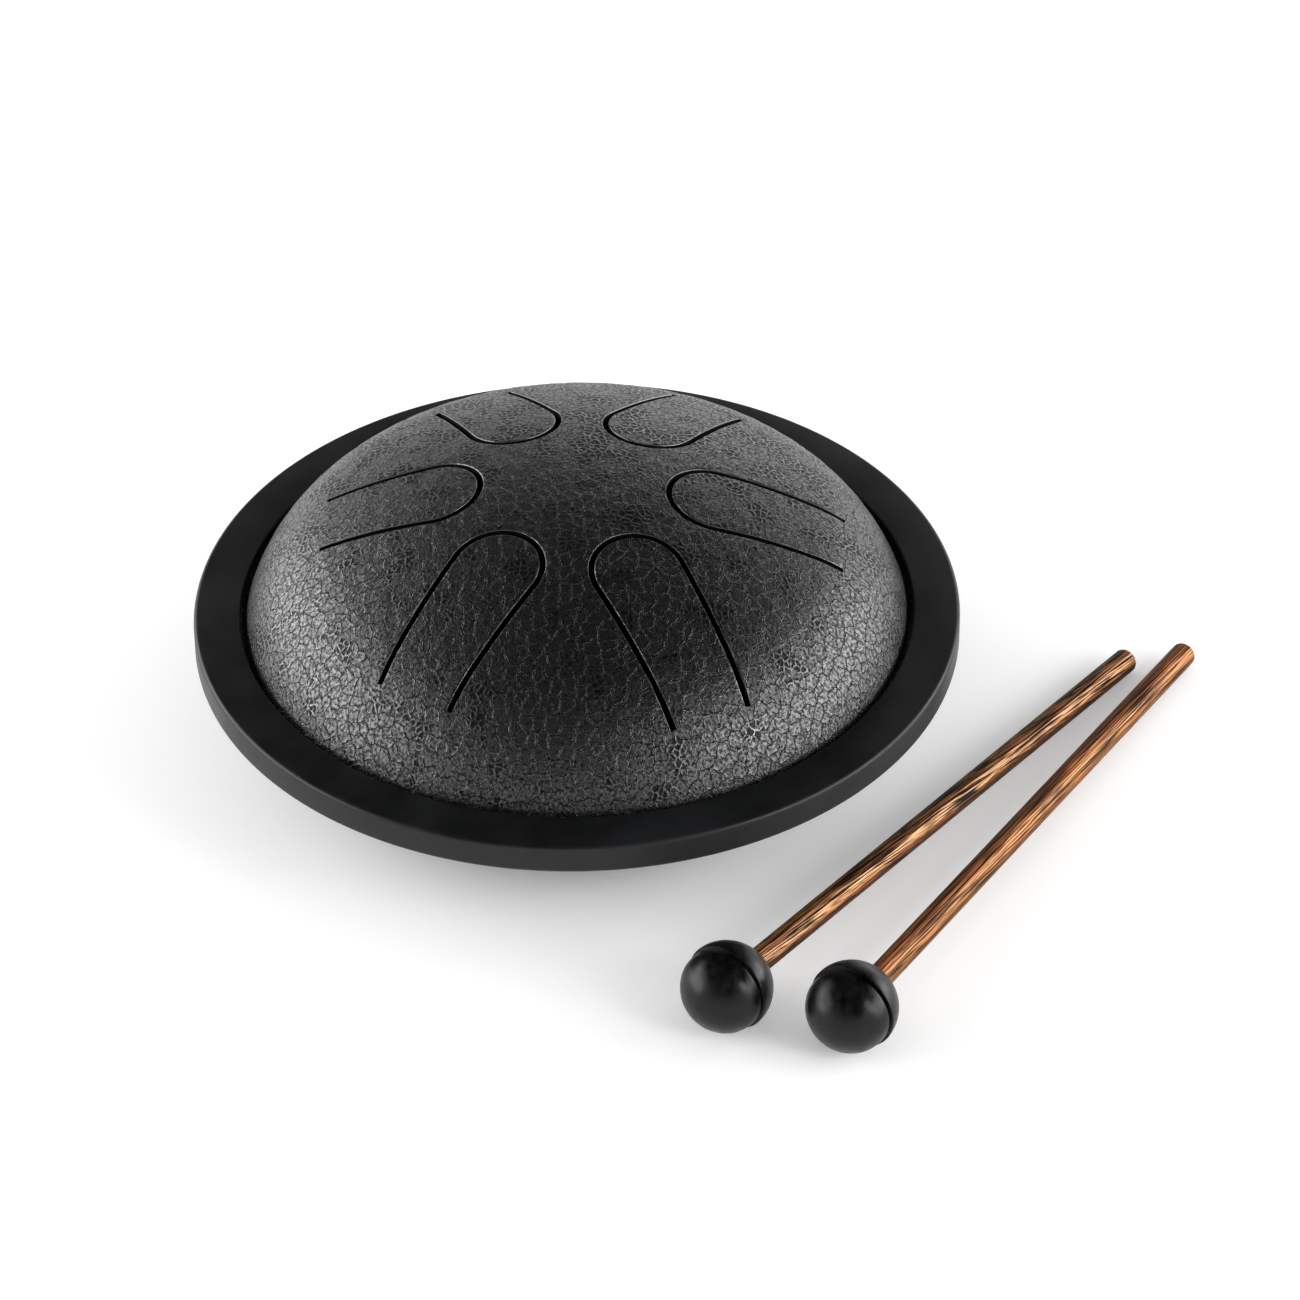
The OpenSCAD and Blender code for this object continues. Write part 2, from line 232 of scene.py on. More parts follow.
def dustedInside(settings):
    material, tree = newMaterial("dustedBlackPowder")
    place = addNode(tree, "ShaderNodeTexCoord").outputs["Object"]
    dust = addNode(tree, "ShaderNodeTexNoise", Vector=place, Scale=1000 / settings["dust"], Detail=4.0)
    colour = addRamp(tree, dust.outputs["Fac"], settings["tones"])
    bump = addNode(tree, "ShaderNodeBump", Strength=1.0, Distance=settings["depth"] * mm,
                   Height=dust.outputs["Fac"])
    finishMaterial(tree, Base_Color=colour, Roughness=settings["rough"], Specular_IOR_Level=settings["gloss"],
                   Normal=bump.outputs["Normal"])
    return material


# Moulded rubber: satin black with a dusty bloom in soft patches and handling smears, which grey the
# surface and dull its gloss, over a fine pebble from the mould. Sizes are in mm.

bloomSpan = {"tone": (0.16, 0.36), "rough": (0.15, 0.37)}  # of bloom times smear


def mouldedRubber(name, settings):
    material, tree = newMaterial(name)
    place = addNode(tree, "ShaderNodeTexCoord").outputs["Object"]
    bloom = addNode(tree, "ShaderNodeTexNoise", Vector=place, Scale=1000 / settings["bloom"], Detail=5.0,
                    Roughness=0.65)
    smears = addNode(tree, "ShaderNodeVectorMath", {"operation": "DIVIDE"}, i0=place,
                     i1=tuple(c * mm for c in settings["smear"]))
    smear = addNode(tree, "ShaderNodeTexNoise", Vector=smears.outputs[0], Scale=1.0, Detail=4.0,
                    Roughness=0.6)
    grain = addNode(tree, "ShaderNodeTexNoise", Vector=place, Scale=1000 / settings["grain"], Detail=2.0)
    dust = addNode(tree, "ShaderNodeMath", {"operation": "MULTIPLY"}, i0=bloom.outputs["Fac"],
                   i1=smear.outputs["Fac"])
    tones = list(zip(bloomSpan["tone"], (settings["dark"], settings["light"])))
    colour = addRamp(tree, dust.outputs[0], tones)
    rough = addNode(tree, "ShaderNodeMapRange", Value=dust.outputs[0], From_Min=bloomSpan["rough"][0],
                    From_Max=bloomSpan["rough"][1], To_Min=settings["rough"][0], To_Max=settings["rough"][1])
    relief = addNode(tree, "ShaderNodeMath", {"operation": "MULTIPLY_ADD"}, i0=bloom.outputs["Fac"],
                     i1=settings["dents"], i2=grain.outputs["Fac"])
    bump = addNode(tree, "ShaderNodeBump", Strength=1.0, Distance=settings["grainDepth"] * mm,
                   Height=relief.outputs[0])
    finishMaterial(tree, Base_Color=colour, Roughness=rough.outputs["Result"], Normal=bump.outputs["Normal"],
                   Specular_IOR_Level=settings["gloss"])
    return material


ringRubberSettings = {"dark": "#0c0d0e", "light": "#17181a", "bloom": 16, "smear": (30, 30, 30), "grain": 0.5,
                      "grainDepth": 0.012, "dents": 4.0, "rough": (0.36, 0.48), "gloss": 0.32}
headRubberSettings = {"dark": "#030303", "light": "#101011", "bloom": 3, "smear": (2, 9, 14), "grain": 0.4,
                      "grainDepth": 0.012, "dents": 1.5, "rough": (0.25, 0.44), "gloss": 0.27}


# Zinc plate on steel: a cool grey with a faint blotchy passivation

zincSettings = {"cloud": 1.5, "tones": [(0.35, "#a7abae"), (0.65, "#c3c6c7")], "rough": (0.25, 0.42)}


def zincPlate(settings):
    material, tree = newMaterial("zincPlatedSteel")
    place = addNode(tree, "ShaderNodeTexCoord").outputs["Object"]
    cloud = addNode(tree, "ShaderNodeTexNoise", Vector=place, Scale=1000 / settings["cloud"], Detail=3.0)
    colour = addRamp(tree, cloud.outputs["Fac"], settings["tones"])
    rough = addNode(tree, "ShaderNodeMapRange", Value=cloud.outputs["Fac"], To_Min=settings["rough"][0],
                    To_Max=settings["rough"][1])
    finishMaterial(tree, Base_Color=colour, Roughness=rough.outputs["Result"], Metallic=1.0)
    return material


# Turned and oiled dowels: broad bands of the wood's browns run along the stick and change from edge to
# edge, darker at both edges and lightest a little off the middle, set across the stick as the camera sees
# it: painted shade of the round stick laid over its own colour. Long tapering dark streaks cross them at
# a slight angle, over a fine fibre. The coordinates are the stick's own, in mm.

woodSettings = {
    "radius": 3,
    "fine": (0.3, 0.3, 7),
    "fineStops": [(0.36, 0.4), (0.5, 0.95), (0.66, 1.4)],
    "featherSpan": (0.3, 0.7),  # of the streaks' noise, over which the bands' edges sway
    "depth": 0.02,
    "rough": 0.55,
    "gloss": 0.1,
}


def turnedWood(name, settings):
    material, tree = newMaterial(name)
    grain = addNode(tree, "ShaderNodeAttribute", {"attribute_name": "grain"}).outputs["Vector"]
    slow = addNode(tree, "ShaderNodeVectorMath", {"operation": "MULTIPLY"}, i0=grain, i1=settings["waver"])
    waver = addNode(tree, "ShaderNodeTexNoise", Vector=slow.outputs[0], Scale=1.0, Detail=3.0)
    bent = addNode(tree, "ShaderNodeVectorMath", {"operation": "MULTIPLY_ADD"}, i0=waver.outputs["Color"],
                   i1=settings["bend"], i2=grain)
    across = addNode(tree, "ShaderNodeVectorMath", {"operation": "DOT_PRODUCT"}, i0=bent.outputs[0],
                     i1=settings["across"])

    def streaks(size, slope, stops):
        # Noise stretched along the stick, leaning by the slope
        lean = addNode(tree, "ShaderNodeVectorMath", {"operation": "DOT_PRODUCT"}, i0=bent.outputs[0],
                       i1=(*settings["across"][:2], slope))
        side = addNode(tree, "ShaderNodeVectorMath", {"operation": "DOT_PRODUCT"}, i0=bent.outputs[0],
                       i1=(settings["across"][1], -settings["across"][0], 0))
        along = addNode(tree, "ShaderNodeSeparateXYZ", Vector=grain)
        joined = addNode(tree, "ShaderNodeCombineXYZ", X=lean.outputs["Value"], Y=side.outputs["Value"],
                         Z=along.outputs["Z"])
        sized = addNode(tree, "ShaderNodeVectorMath", {"operation": "DIVIDE"}, i0=joined.outputs[0], i1=size)
        noise = addNode(tree, "ShaderNodeTexNoise", Vector=sized.outputs[0], Scale=1.0, Detail=2.0,
                        Roughness=0.55)
        return noise.outputs["Fac"], addRamp(tree, noise.outputs["Fac"], stops)

    streak, dark = streaks(settings["streak"], settings["lean"], settings["streakStops"])
    _, fine = streaks(woodSettings["fine"], settings["lean"] / 2, woodSettings["fineStops"])
    feather = addNode(tree, "ShaderNodeMapRange", Value=streak, From_Min=woodSettings["featherSpan"][0],
                      From_Max=woodSettings["featherSpan"][1], To_Min=settings["feather"],
                      To_Max=-settings["feather"])
    swayed = addNode(tree, "ShaderNodeMath", {"operation": "ADD"}, i0=across.outputs["Value"],
                     i1=feather.outputs["Result"])
    level = addNode(tree, "ShaderNodeMapRange", Value=swayed.outputs[0],
                    From_Min=-woodSettings["radius"] + settings["shift"],
                    From_Max=woodSettings["radius"] + settings["shift"])
    # Painted shade: the wood's browns darken toward both edges of the stick as the camera sees it
    shadedBand = addRamp(tree, level.outputs["Result"], settings["shadedBands"])
    shade = addNode(tree, "ShaderNodeMix", {"data_type": "RGBA", "blend_type": "MULTIPLY"}, Factor=1.0,
                    i6=shadedBand, i7=dark)
    shade = addNode(tree, "ShaderNodeMix", {"data_type": "RGBA", "blend_type": "MULTIPLY"}, Factor=1.0,
                    i6=shade.outputs[2], i7=fine)
    bump = addNode(tree, "ShaderNodeBump", Strength=1.0, Distance=woodSettings["depth"] * mm, Height=fine)
    finishMaterial(tree, Base_Color=shade.outputs[2], Roughness=woodSettings["rough"],
                   Normal=bump.outputs["Normal"], Specular_IOR_Level=woodSettings["gloss"])
    return material


leftWoodSettings = {
    "waver": (0.3, 0.3, 0.035), "bend": (1.1, 1.1, 0), "across": (-0.638, 0.770, 0), "shift": 0.12,
    "streak": (0.34, 0.8, 16), "lean": 0.045, "feather": 1.2,
    # shadedBands: the wood's browns from edge to edge across the stick, dark at both edges as painted shade
    "shadedBands": [(0.07, "#3e2210"), (0.17, "#7c4826"), (0.3, "#c9976b"), (0.45, "#b98d66"), (0.57, "#74462a"),
              (0.7, "#683d22"), (0.83, "#634422"), (0.95, "#57472c")],
    "streakStops": [(0.42, 0.03), (0.48, 0.5), (0.55, 1.7)],
}
rightWoodSettings = {
    "waver": (0.22, 0.22, 0.02), "bend": (1.1, 1.1, 0), "across": (-0.583, 0.813, 0), "shift": 0.17,
    "streak": (0.34, 0.8, 24), "lean": 0.02, "feather": 0.9,
    # shadedBands: the wood's browns from edge to edge across the stick, dark at both edges as painted shade
    "shadedBands": [(0.07, "#6a472a"), (0.17, "#925c34"), (0.3, "#b67e50"), (0.45, "#b07d54"), (0.57, "#935f3b"),
              (0.7, "#6f3c1d"), (0.83, "#683a1f"), (0.95, "#67492b")],
    "streakStops": [(0.4, 0.1), (0.47, 0.65), (0.55, 1.45)],
}

coat = crackleCoat(coatSettings)
insideCoat = dustedInside(insideSettings)
ringRubber = mouldedRubber("mouldedRingRubber", ringRubberSettings)
headRubber = mouldedRubber("mouldedMalletRubber", headRubberSettings)
zinc = zincPlate(zincSettings)
leftWood = turnedWood("turnedZebrano", leftWoodSettings)
rightWood = turnedWood("turnedRosewood", rightWoodSettings)
print("materials made")


# Meshes

def addPiece(name, verts, faces, material, body, nodes, sharpness=40):
    mesh = bpy.data.meshes.new(name)
    mesh.from_pydata(np.asarray(verts).tolist(), [], [list(map(int, f)) for f in faces])
    mesh.materials.append(material)
    mesh.shade_smooth()
    mesh.set_sharp_from_angle(angle=math.radians(sharpness))
    piece = bpy.data.objects.new(name, mesh)
    scene.collection.objects.link(piece)
    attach(piece, body)
    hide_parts(*nodes)
    return piece


def addVectors(piece, name, values):
    attribute = piece.data.attributes.new(name, "FLOAT_VECTOR", "POINT")
    attribute.data.foreach_set("vector", np.asarray(values, np.float32).ravel())


def addUv(piece, name, values):
    # One UV for each vertex, copied to the corners that use it
    layer = piece.data.uv_layers.new(name=name)
    corners = np.zeros(len(piece.data.loops), np.int32)
    piece.data.loops.foreach_get("vertex_index", corners)
    layer.data.foreach_set("uv", np.asarray(values, np.float32)[corners].ravel())


def arc(centre, radius, start, end, count):
    # Points of a circle's arc, from one angle to another in radians
    turn = np.linspace(start, end, count)
    return np.stack([centre[0] + radius * np.cos(turn), centre[1] + radius * np.sin(turn)], -1)


def roundMesh(rows, loop=False, start=None, end=None):
    # Rows of points that go round the axis, joined by four-sided faces. A start or end height closes
    # that end with a pole on the axis.
    count, steps = rows.shape[:2]
    i, j = np.meshgrid(np.arange(count if loop else count - 1), np.arange(steps), indexing="ij")
    after, beside = (i + 1) % count, (j + 1) % steps
    faces = np.stack([i * steps + j, i * steps + beside, after * steps + beside, after * steps + j], -1)
    faces = faces.reshape(-1, 4).tolist()
    verts = rows.reshape(-1, 3)
    last = (count - 1) * steps
    if start is not None:
        verts = np.vstack([verts, [[0, 0, start]]])
        faces += [[len(verts) - 1, (k + 1) % steps, k] for k in range(steps)]
    if end is not None:
        verts = np.vstack([verts, [[0, 0, end]]])
        faces += [[len(verts) - 1, last + k, last + (k + 1) % steps] for k in range(steps)]
    return verts, faces


def turned(profile, steps, wobble=None):
    # A closed surface of revolution: each profile point (r, z) goes round the axis as (r cos t, r sin t, z).
    # A point on the axis becomes one pole, and a profile that is a loop joins up with itself.
    profile = np.asarray(profile, float)
    loop = np.allclose(profile[0], profile[-1])
    if loop:
        profile = profile[:-1]
    start, end = (not loop and profile[k, 0] < 1e-9 for k in (0, -1))
    rows = profile[int(start):len(profile) - int(end)]
    turn = np.arange(steps) * 2 * np.pi / steps
    radius = rows[:, :1] * np.ones(steps)
    if wobble is not None:
        radius = radius + wobble(rows[:, 1:], turn[None, :])
    points = np.stack([radius * np.cos(turn), radius * np.sin(turn), rows[:, 1:] * np.ones(steps)], -1)
    return roundMesh(points, loop, profile[0, 1] if start else None, profile[-1, 1] if end else None)


def outward(verts, faces):
    # Turns every face round if the closed mesh holds a negative volume
    corner = np.array([[f[0], f[k], f[k + 1]] for f in faces for k in range(1, len(f) - 1)])
    a, b, c = (verts[corner[:, k]] for k in range(3))
    volume = np.einsum("ij,ij->i", a, np.cross(b, c)).sum()
    return faces if volume > 0 else [f[::-1] for f in faces]


# Shells: the profile is a chain of arcs, and a point of the sheet is found by its distance s along the
# profile from the axis and its angle. The sheet is cut up in the flat, where a point stands at
# (s cos t, s sin t), and then pressed into shape.

tongueLow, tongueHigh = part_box("tongue_shell")
dishLow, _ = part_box("bottom_shell")
seamZ = tongueLow.z / mm
flangeR = round(tongueHigh.x / mm, 1)

shellSettings = {  # in mm
    "sheet": 1.5,
    "bend": 1.2,
    "flange": 8.2,
    "crown": 131.4,
    "shoulder": 39.8,
    "dishCorner": 24,
    "port": 18,
    "portSteps": 150,
    "screwHole": 1.65,
    "screwHoleSteps": 24,
    "profileSteps": (1200, 900, 120),  # of the crown, the shoulder or corner, and the bend
    "spacing": 1.05,
    "fine": (0.6, 1.6, 12),  # round the bend: how far it goes on either side, and its rings of points
    "edge": 0.28,  # rounding of the coat along a cut
    "edgeShares": (0, 0.15, 0.45, 1, 2.2),  # of that rounding, where rows of points follow a cut
    "clear": 0.45,  # of the spacing, kept free of other points beside the last row
    "rim": 12,  # rise of the attribute "rim" for each mm that the coat has dropped
    "peel": 0.05,  # height of the coat's slow unevenness
    "waves": 14,  # in that unevenness
    "waveLength": (3, 7),
    "calm": (10, 4),  # how far from the sheet's edge the unevenness ends, and over what distance
}
wallR = flangeR - shellSettings["flange"]
bendAt = np.array([wallR + shellSettings["bend"], shellSettings["sheet"] + shellSettings["bend"]])


def domeProfile(s, height):
    # Crown, shoulder tangent to it, concave bend tangent to the shoulder, and the flat flange
    crownAt = np.array([0, height - s["crown"]])
    toBend = bendAt - crownAt
    reach = np.linalg.norm(toBend)
    near, far = s["crown"] - s["shoulder"], s["shoulder"] + s["bend"]
    along = (near ** 2 - far ** 2 + reach ** 2) / (2 * reach)
    across = math.sqrt(near ** 2 - along ** 2)
    unit = toBend / reach
    shoulderAt = crownAt + along * unit + across * np.array([-unit[1], unit[0]])
    first = math.atan2(*(shoulderAt - crownAt)[::-1])
    second = math.atan2(*(bendAt - shoulderAt)[::-1])
    return np.vstack([
        arc(crownAt, s["crown"], math.pi / 2, first, s["profileSteps"][0]),
        arc(shoulderAt, s["shoulder"], first, second, s["profileSteps"][1])[1:],
        arc(bendAt, s["bend"], second + math.pi, 1.5 * math.pi, s["profileSteps"][2])[1:],
        [[flangeR, s["sheet"]]],
    ])


def dishProfile(s, depth):
    # Flat floor, corner tangent to it, the same bend and flange, measured down from the seam
    rise = depth - bendAt[1] - s["dishCorner"]
    floorR = bendAt[0] - math.sqrt((s["dishCorner"] + s["bend"]) ** 2 - rise ** 2)
    cornerAt = np.array([floorR, depth - s["dishCorner"]])
    second = math.atan2(*(bendAt - cornerAt)[::-1])
    return np.vstack([
        [[0, depth]],
        arc(cornerAt, s["dishCorner"], math.pi / 2, second, s["profileSteps"][1]),
        arc(bendAt, s["bend"], second + math.pi, 1.5 * math.pi, s["profileSteps"][2])[1:],
        [[flangeR, s["sheet"]]],
    ])


class Pressing:
    # Finds a profile's point and outward normal from the distance along it
    def __init__(self, profile):
        step = np.linalg.norm(np.diff(profile, axis=0), axis=1)
        self.along = np.concatenate([[0], np.cumsum(step)])
        self.profile = profile
        tangent = np.gradient(profile, self.along, axis=0)
        self.normal = np.stack([-tangent[:, 1], tangent[:, 0]], -1)
        self.normal /= np.linalg.norm(self.normal, axis=1)[:, None]
        self.end = self.along[-1]

    def flat(self, plan):
        # From plan view to the flat: the angle stays and the radius becomes the distance along the profile
        radius = np.linalg.norm(plan, axis=1)
        return plan * (np.interp(radius, self.profile[:, 0], self.along) / radius)[:, None]

    def press(self, flat, drop):
        s = np.linalg.norm(flat, axis=1)
        unit = flat / np.maximum(s, 1e-9)[:, None]
        r, z = (np.interp(s, self.along, self.profile[:, k]) for k in (0, 1))
        nr, nz = (np.interp(s, self.along, self.normal[:, k]) for k in (0, 1))
        return np.column_stack([unit * (r - drop * nr)[:, None], z - drop * nz])


def inside(points, loop):
    # Even-odd test of many points against one closed loop
    a, b = loop, np.roll(loop, -1, 0)
    x, y = points[:, :1], points[:, 1:]
    spans = (a[:, 1] > y) != (b[:, 1] > y)
    with np.errstate(divide="ignore", invalid="ignore"):
        cross = a[:, 0] + (y - a[:, 1]) / (b[:, 1] - a[:, 1]) * (b[:, 0] - a[:, 0])
    return (spans & (x < cross)).sum(1) % 2 == 1


def flatGrid(pressing, spacing, fine):
    # Staggered rings of points over the flat sheet, closer together where the profile bends sharply
    rings = list(np.arange(spacing, fine[0], spacing)) + list(np.linspace(*fine)) + [pressing.end]
    grid = [np.zeros((1, 2))]
    for k, s in enumerate(rings):
        count = max(6, int(round(2 * math.pi * s / spacing)))
        turn = (np.arange(count) + 0.5 * (k % 2)) * 2 * math.pi / count
        grid.append(s * np.stack([np.cos(turn), np.sin(turn)], -1))
    return np.vstack(grid[:-1]), grid[-1]


def cutSheet(pressing, cuts, fine, s):
    # Triangulates the flat sheet round its cuts. A cut is a function that gives its outline, grown by
    # some distance. Along each cut the coat is rounded by the radius e: at the distance d it has dropped
    # by e - sqrt(e^2 - (e - d)^2).
    edge, spacing = s["edge"], s["spacing"]
    grid, rim = flatGrid(pressing, spacing, fine)
    loops, drops = [rim], [np.zeros(len(rim))]
    for cut in cuts:
        for share in s["edgeShares"]:
            grow = share * edge
            outline = pressing.flat(cut(grow))
            away = max(edge - grow, 0)
            loops.append(outline)
            drops.append(np.full(len(outline), edge - math.sqrt(edge ** 2 - away ** 2)))
        gap = s["clear"] * spacing
        near = np.zeros(len(grid), bool)
        for part in np.array_split(np.arange(len(grid)), 40):
            span = grid[part, None, :] - outline[None]
            near[part] = np.einsum("ijk,ijk->ij", span, span).min(1) < gap ** 2
        grid = grid[~(near | inside(grid, outline))]
    edges, first = [], 0
    for loop in loops:
        edges += [(first + i, first + (i + 1) % len(loop)) for i in range(len(loop))]
        first += len(loop)
    points = np.vstack(loops + [grid])
    drop = np.concatenate(drops + [np.zeros(len(grid))])
    made = delaunay_2d_cdt([Vector(p) for p in points], edges, [], 0, 1e-7)
    flat = np.array([tuple(v) for v in made[0]])
    drop = drop[[o[0] for o in made[3]]]
    faces = np.array(made[2])
    middle = flat[faces].mean(1)
    keep = np.ones(len(faces), bool)
    for k in range(len(cuts)):
        keep &= ~inside(middle, loops[1 + len(s["edgeShares"]) * k])
    keep &= np.linalg.norm(middle, axis=1) < pressing.end
    return flat, drop, faces[keep]


def sheetMesh(pressing, flat, drop, faces, thickness):
    # Outer face, inner face one thickness below it, and a wall along every open edge
    outer, inner = pressing.press(flat, drop), pressing.press(flat, np.full(len(flat), thickness))
    count = len(flat)
    pair = np.vstack([faces[:, [0, 1]], faces[:, [1, 2]], faces[:, [2, 0]]]).astype(np.int64)
    lone = ~np.isin(pair[:, 0] * count + pair[:, 1], pair[:, 1] * count + pair[:, 0])
    a, b = pair[lone].T
    walls = np.stack([b, a, a + count, b + count], -1)
    return np.vstack([outer, inner]), faces.tolist() + (faces[:, ::-1] + count).tolist() + walls.tolist()


def peel(points, s):
    # Slow unevenness of the coat: a sum of a few waves in fixed directions, drawn once from a fixed seed
    random = np.random.default_rng(5)
    height = np.zeros(len(points))
    for _ in range(s["waves"]):
        aim = random.normal(size=3)
        aim /= np.linalg.norm(aim)
        height += np.sin(points @ aim * 2 * np.pi / random.uniform(*s["waveLength"]) + random.uniform(0, 6.3))
    return s["peel"] * height / math.sqrt(s["waves"])


tongueSettings = {  # in mm
    "pitch": 32.79,
    "tip": 10.81,
    "rootHalf": 9.49,
    "reach": 68.5,
    "slot": 1.4,
    "turn": 55.8,  # degrees
    "reachShares": (0.838, 0.804, 0.861, 0.968, 1, 0.915),
    "legSpacing": 0.9,
    "tipSteps": 44,
    "cornerSteps": 4,
}


def slotCut(s, index):
    # A tongue's slot: an arc round the tip with a straight leg tangent to each of its ends, and square
    # ends at the root. Grown, each edge moves out and the corners become small arcs.
    reach = s["reach"] * s["reachShares"][index]
    root = np.array([reach - s["pitch"], s["rootHalf"]])
    openTurn = math.atan2(root[1], root[0]) + math.acos(s["tip"] / np.linalg.norm(root))
    legLen = math.sqrt(root @ root - s["tip"] ** 2)
    legAim = np.array([math.sin(openTurn), -math.cos(openTurn)])
    side = np.array([math.cos(openTurn), math.sin(openTurn)])
    half = s["slot"] / 2
    angle = math.radians(s["turn"]) + index * 2 * math.pi / len(s["reachShares"])
    spin = np.array([[math.cos(angle), math.sin(angle)], [-math.sin(angle), math.cos(angle)]])

    def outline(grow):
        legs = np.linspace(legLen, 0, int(legLen / s["legSpacing"]))[:, None] * legAim
        corner = np.arange(s["cornerSteps"]) / s["cornerSteps"] * math.pi / 2
        end = legLen * legAim
        outer = (s["tip"] + half + grow) * side + legs
        inner = (s["tip"] - half - grow) * side + legs
        outerCorner = (s["tip"] + half) * side + end + grow * (
            np.cos(corner)[:, None] * legAim + np.sin(corner)[:, None] * side)
        innerCorner = (s["tip"] - half) * side + end + grow * (
            np.cos(corner)[:, None] * legAim - np.sin(corner)[:, None] * side)
        if grow == 0:
            outerCorner, innerCorner = outerCorner[:0], innerCorner[:0]
        turn = (openTurn, 2 * math.pi - openTurn, s["tipSteps"])
        tip = arc((0, 0), s["tip"] + half + grow, *turn)[1:-1]
        back = arc((0, 0), s["tip"] - half - grow, *turn)[1:-1]
        flip = np.array([1, -1])
        loop = np.vstack([outerCorner, outer, tip, outer[::-1] * flip, outerCorner[::-1] * flip,
                          innerCorner * flip, inner * flip, back[::-1], inner[::-1], innerCorner[::-1]])
        return (loop + [s["pitch"], 0]) @ spin

    return outline


def roundCut(centre, radius, steps):
    return lambda grow: arc(centre, radius + grow, 0, 2 * math.pi * (1 - 1 / steps), steps)


def addShell(name, profile, cuts, place, node):
    # The sheet is cut and pressed, its coat sinks by twice the unevenness's height and then waves by it,
    # and the place gives its direction up or down and the height of its seam
    s = shellSettings
    pressing = Pressing(profile)
    fineStart = float(np.interp(wallR - s["fine"][0], profile[:, 0], pressing.along))
    fineEnd = pressing.end - s["flange"] + s["fine"][1]
    flat, drop, faces = cutSheet(pressing, cuts, (fineStart, fineEnd, s["fine"][2]), s)
    verts, faces = sheetMesh(pressing, flat, drop, faces, s["sheet"])
    count = len(flat)
    fade = np.clip((pressing.end - s["calm"][0] - np.linalg.norm(flat, axis=1)) / s["calm"][1], 0, 1)
    uneven = peel(verts[:count], s) * fade
    verts[:count] = pressing.press(flat, drop + s["peel"] * 2 - uneven * (drop < 0.01))
    verts = verts * [1, 1, place[0]] + [0, 0, place[1]]
    outerCount = next(k for k, f in enumerate(faces) if max(f) >= count)
    piece = addPiece(name, verts * mm, outward(verts, faces), coat, "drum", [node])
    addUv(piece, "sheet", np.vstack([flat, flat]) * mm)
    rim = piece.data.attributes.new("rim", "FLOAT", "POINT")
    rolled = np.concatenate([np.clip(drop * s["rim"], 0, 1), np.zeros(count)])
    rim.data.foreach_set("value", rolled.astype(np.float32))
    piece.data.materials.append(insideCoat)
    piece.data.polygons.foreach_set("material_index", (np.arange(len(faces)) >= outerCount).astype(np.int32))
    print(name, "pressed:", len(verts), "points")


slots = [slotCut(tongueSettings, k) for k in range(len(tongueSettings["reachShares"]))]
addShell("tongueDome", domeProfile(shellSettings, tongueHigh.z / mm - seamZ), slots, (1, seamZ),
         "tongue_shell")

footPlaces = {n: (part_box("foot_" + n)[0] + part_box("foot_" + n)[1]) / 2 / mm
              for n in ("front_left", "front_right", "back_left", "back_right")}
holes = [roundCut((0, 0), shellSettings["port"], shellSettings["portSteps"])] + [
    roundCut((p.x, p.y), shellSettings["screwHole"], shellSettings["screwHoleSteps"])
    for p in footPlaces.values()]
addShell("dishShell", dishProfile(shellSettings, seamZ - dishLow.z / mm), holes, (-1, seamZ), "bottom_shell")


# Ring: a U section turned round the axis

ringLow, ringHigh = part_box("rim_ring")
ringSettings = {"lipGap": 1.3, "channelGap": 0.3, "outerEdge": 1.1, "lipEdge": 0.5, "outerSteps": 12,
                "lipSteps": 8, "steps": 360}


def addRing(s):
    # Rounded outer corners, rounded lips and a square channel that is as high as both flanges
    low, high, outer = ringLow.z / mm, ringHigh.z / mm, ringHigh.x / mm
    lip, channel = wallR + s["lipGap"], flangeR + s["channelGap"]
    t, e, q = shellSettings["sheet"], s["outerEdge"], s["lipEdge"]
    quarter = math.pi / 2
    profile = np.vstack([
        arc((outer - e, high - e), e, 0, quarter, s["outerSteps"]),
        arc((lip + q, high - q), q, quarter, 2 * quarter, s["lipSteps"]),
        [[lip, seamZ + t], [channel, seamZ + t], [channel, seamZ - t], [lip, seamZ - t]],
        arc((lip + q, low + q), q, 2 * quarter, 3 * quarter, s["lipSteps"]),
        arc((outer - e, low + e), e, 3 * quarter, 4 * quarter, s["outerSteps"]),
    ])
    profile = np.vstack([profile, profile[:1]])
    verts, faces = turned(profile, s["steps"])
    addPiece("rimRing", verts * mm, outward(verts, faces), ringRubber, "drum", ["rim_ring"])


addRing(ringSettings)
print("ring turned")


# Feet and their fasteners

footSettings = {"top": 7, "tip": 5.8, "edge": 0.9, "recess": 4.2, "web": 2, "hole": 1.65, "lip": 0.35,
                "chamfer": 0.3, "inset": 0.05, "edgeSteps": 9, "lipSteps": 6, "steps": 64}


def addFoot(name, place, s):
    # A cone with a chamfered top, a rounded lower edge, a recess for the washer and a hole for the screw
    height = -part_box("foot_" + name)[0].z / mm
    c = s["chamfer"]
    profile = np.vstack([
        [[s["hole"], 0], [s["top"] - c, 0], [s["top"] - s["inset"], -c]],
        arc((s["tip"] - s["edge"] + s["inset"], -height + s["edge"]), s["edge"], 0, -math.pi / 2,
            s["edgeSteps"]),
        arc((s["recess"] + s["lip"], -height + s["lip"]), s["lip"], -math.pi / 2, -math.pi, s["lipSteps"]),
        [[s["recess"], -s["web"] - c], [s["recess"] - c, -s["web"]], [s["hole"], -s["web"]], [s["hole"], 0]],
    ])
    verts, faces = turned(profile, s["steps"])
    addPiece("foot_" + name, (verts + [place.x, place.y, 0]) * mm, outward(verts, faces), ringRubber, "drum",
             ["foot_" + name])


for name, place in footPlaces.items():
    addFoot(name, place, footSettings)
for name in ("foot_washers", "foot_nuts"):
    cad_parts[name].data.materials.clear()
    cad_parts[name].data.materials.append(zinc)

